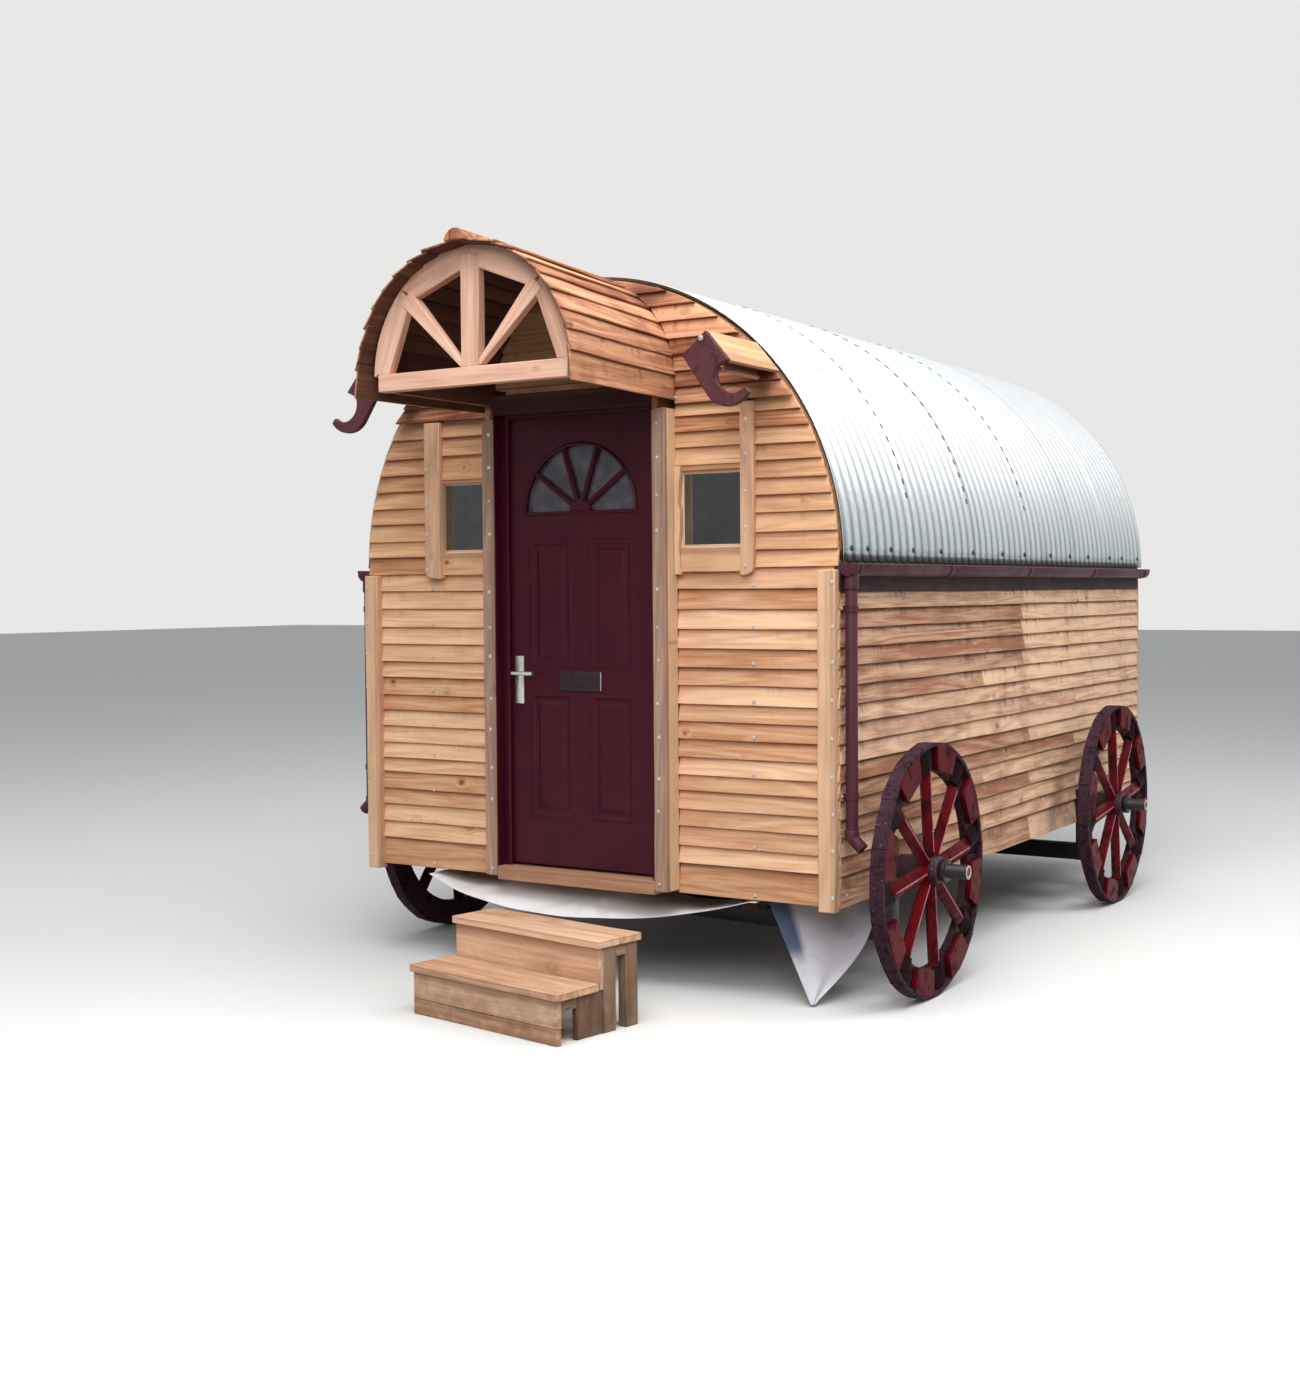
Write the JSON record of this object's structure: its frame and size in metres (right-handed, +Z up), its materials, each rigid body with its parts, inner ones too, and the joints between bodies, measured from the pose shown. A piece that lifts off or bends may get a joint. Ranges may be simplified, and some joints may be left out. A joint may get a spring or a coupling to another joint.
{
  "type": "shepherds hut",
  "caption": "Boarded shepherds hut with a barrel roof on wooden wheels, a hooded panelled door that opens inwards, small front windows, gutters and a loose box stair.",
  "frame": {"origin": "on the ground, under the middle of the whole object, with the loose stair and the axle ends counted in", "axes": "+X to the right of someone who faces the door, +Y from the door to the back wall, +Z up"},
  "size_m": [3.18, 5.112, 3.1215],
  "materials": {
    "fresh_boards": "planed softwood, oiled",
    "weathered_boards": "weathered softwood",
    "floor_timber": "sawn softwood",
    "door_paint": "gloss paint",
    "window_paint": "satin paint",
    "galvanised_sheet": "galvanised",
    "gutter_brown": "moulded",
    "hook_brown": "matt paint",
    "wheel_red": "matt paint",
    "wheel_brown": "matt paint",
    "axle_iron": "dull",
    "clear_glass": "clear",
    "obscured_glass": "obscured",
    "bright_fittings": "polished",
    "hinge_steel": "plain",
    "white_sheet": "matt"
  },
  "bodies": {
    "hut": {"floor_deck": "floor_timber", "floor_joists": "floor_timber", "chassis_rails": "floor_timber", "front_axle": "axle_iron", "rear_axle": "axle_iron", "front_wall_left": "fresh_boards", "front_wall_right": "fresh_boards", "front_wall_over_door": "fresh_boards", "rear_wall": "fresh_boards", "left_wall": "fresh_boards", "right_wall": "fresh_boards", "gable_skirt_left": "fresh_boards", "gable_skirt_right": "fresh_boards", "roof_core": "floor_timber", "roof_sheets": "galvanised_sheet", "gutters": "gutter_brown", "downpipes": "gutter_brown", "corner_posts": "weathered_boards", "door_posts": "fresh_boards", "door_post_battens": "weathered_boards", "door_sill": "weathered_boards", "door_head": "weathered_boards", "door_frame": "door_paint", "door_hinge_pins": "hinge_steel", "window_frames": "window_paint", "window_glass": "clear_glass", "window_trim": "weathered_boards", "hood_truss": "fresh_boards", "hood_shell": "fresh_boards", "hood_ridge": "fresh_boards", "hood_bearers": "fresh_boards", "wall_hooks": "hook_brown", "hook_lids": "fresh_boards", "hook_beams": "hook_brown", "stair_treads": "weathered_boards", "stair_risers": "weathered_boards", "stair_frame": "weathered_boards", "underfloor_sheet": "white_sheet", "loose_membrane": "white_sheet"},
    "door": {"door_leaf": "door_paint", "fan_glass": "obscured_glass", "letter_plate": "bright_fittings", "door_handle": "bright_fittings", "door_hinge_flaps": "hinge_steel"},
    "wheel_front_right": {"wheel_front_right_rim": "wheel_red", "wheel_front_right_spokes": "wheel_brown"},
    "wheel_front_left": {"wheel_front_left_rim": "wheel_red", "wheel_front_left_spokes": "wheel_brown"},
    "wheel_rear_right": {"wheel_rear_right_rim": "wheel_red", "wheel_rear_right_spokes": "wheel_brown"},
    "wheel_rear_left": {"wheel_rear_left_rim": "wheel_red", "wheel_rear_left_spokes": "wheel_brown"}
  },
  "joints": [
    {"name": "door_hinge", "type": "hinge", "parent": "hut", "child": "door", "pos_m": [0.381, -1.522, 1.483], "axis": [0, 0, -1], "range_deg": [0, 95]},
    {"name": "wheel_front_right_spin", "type": "hinge", "parent": "hut", "child": "wheel_front_right", "pos_m": [1.415, -1.097, 0.533], "axis": [1, 0, 0], "continuous": true},
    {"name": "wheel_front_left_spin", "type": "hinge", "parent": "hut", "child": "wheel_front_left", "pos_m": [-1.315, -0.824, 0.533], "axis": [-1, 0, 0], "continuous": true},
    {"name": "wheel_rear_right_spin", "type": "hinge", "parent": "hut", "child": "wheel_rear_right", "pos_m": [1.415, 1.436, 0.533], "axis": [1, 0, 0], "continuous": true},
    {"name": "wheel_rear_left_spin", "type": "hinge", "parent": "hut", "child": "wheel_rear_left", "pos_m": [-1.415, 1.436, 0.533], "axis": [-1, 0, 0], "continuous": true}
  ]
}
